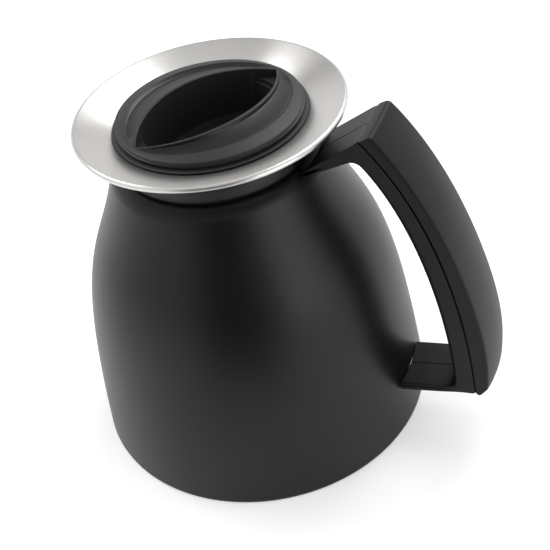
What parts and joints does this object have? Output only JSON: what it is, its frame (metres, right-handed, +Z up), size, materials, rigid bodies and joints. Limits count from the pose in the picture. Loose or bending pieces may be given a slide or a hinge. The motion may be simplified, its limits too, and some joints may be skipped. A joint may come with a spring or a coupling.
{
  "type": "insulated serving jug",
  "caption": "Vacuum serving jug with a wide steel pouring rim, a screw-in stopper lid with a grip pocket, and a closed black handle.",
  "frame": {"origin": "on the jug's axis, in the plane of the foot ring's underside", "axes": "+Z up along the jug's axis, +X from the axis towards the handle"},
  "size_m": [0.1989, 0.16, 0.1619],
  "materials": {
    "satin_black_shell": "satin black lacquer on steel",
    "base_plastic": "moulded, matt",
    "foot_rubber": "soft black",
    "flask_steel": "drawn stainless steel",
    "cushion_rubber": "moulded foam rubber",
    "collar_plastic": "moulded black, satin",
    "silicone": "moulded silicone",
    "brushed_rim": "spun and brushed in rings",
    "handle_plastic": "moulded black, fine satin",
    "bracket_steel": "plain pressed steel",
    "lid_plastic": "moulded black, satin",
    "stopper_plastic": "moulded black, matt",
    "foam": "closed-cell foam"
  },
  "bodies": {
    "jug": {"outer_body": "satin_black_shell", "base_cap": "base_plastic", "foot_ring": "foot_rubber", "flask_outer": "flask_steel", "flask_inner": "flask_steel", "vacuum_seal": "flask_steel", "flask_cushion": "cushion_rubber", "neck_bush": "base_plastic", "collar": "collar_plastic", "neck_seal": "silicone", "rim_gasket": "silicone", "pouring_rim": "brushed_rim", "handle_frame": "handle_plastic", "handle_cover": "handle_plastic", "lower_bracket": "bracket_steel", "lower_screw": "bracket_steel"},
    "stopper_seal": {"lid_seal": "silicone"},
    "lid": {"lid_cap": "lid_plastic", "lid_body": "stopper_plastic", "lid_ring": "silicone", "lid_foam": "foam", "lid_base": "stopper_plastic"}
  },
  "joints": [
    {"name": "lid_rise", "type": "slide", "parent": "jug", "child": "stopper_seal", "axis": [0, 0, 1], "range_m": [0, 0.0321]},
    {"name": "lid_turn", "type": "hinge", "parent": "stopper_seal", "child": "lid", "pos_m": [0, 0, 0.126], "axis": [0, 0, 1], "range_deg": [0, 480]}
  ],
  "couplings": [
    {"joint": "lid_rise", "follows": "lid_turn", "m_per_rad": 0.0038197}
  ]
}
